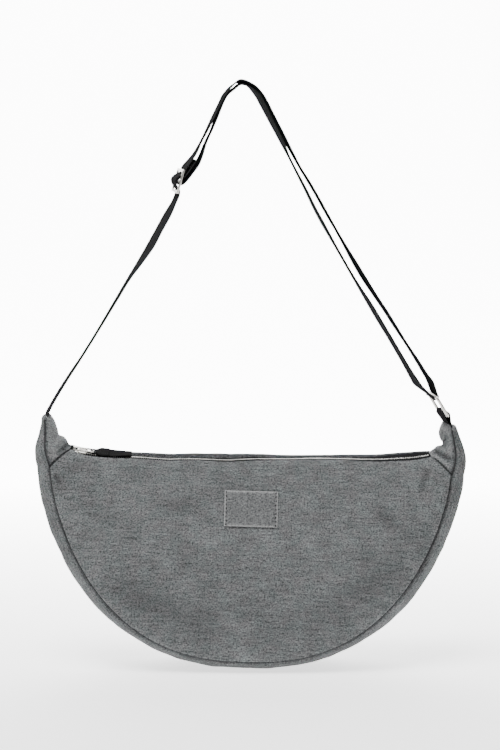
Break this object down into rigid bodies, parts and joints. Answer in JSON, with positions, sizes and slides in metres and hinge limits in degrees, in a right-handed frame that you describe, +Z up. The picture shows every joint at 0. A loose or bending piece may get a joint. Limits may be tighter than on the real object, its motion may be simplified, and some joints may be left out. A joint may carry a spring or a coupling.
{
  "type": "belt bag",
  "caption": "Half-moon canvas belt bag with a zipped top, horned ends, an adjustable webbing strap held up in a loop, and a bare sewn label patch.",
  "frame": {"origin": "underside of the strap's top, where a hook or a shoulder carries the bag", "axes": "+Z up along the hanging bag, +Y towards its back, +X to the right seen from the front"},
  "size_m": [0.4062, 0.1014, 0.5518],
  "materials": {
    "canvas": "washed grey canvas",
    "webbing": "black woven webbing",
    "zip_tape": "black woven tape",
    "zip_teeth": "nickel teeth",
    "metal": "satin nickel",
    "patch": "grey suede-like patch, bare"
  },
  "bodies": {
    "bag": {"front_panel": "canvas", "back_panel": "canvas", "gusset": "canvas", "end_tab_left": "canvas", "end_tab_right": "canvas", "zip_tape_front": "zip_tape", "zip_tape_back": "zip_tape", "zip_chain": "zip_teeth", "zip_slider": "metal", "strap": "webbing", "strap_adjuster": "metal", "strap_ring": "metal", "ring_tab": "webbing", "label_patch": "patch"},
    "pull": {"zip_pull": "metal", "pull_tab": "webbing"}
  },
  "joints": [
    {"name": "pull_hinge", "type": "hinge", "parent": "bag", "child": "pull", "pos_m": [-0.1525, 0, -0.34058], "axis": [0, -1, 0], "range_deg": [0, 105]}
  ]
}
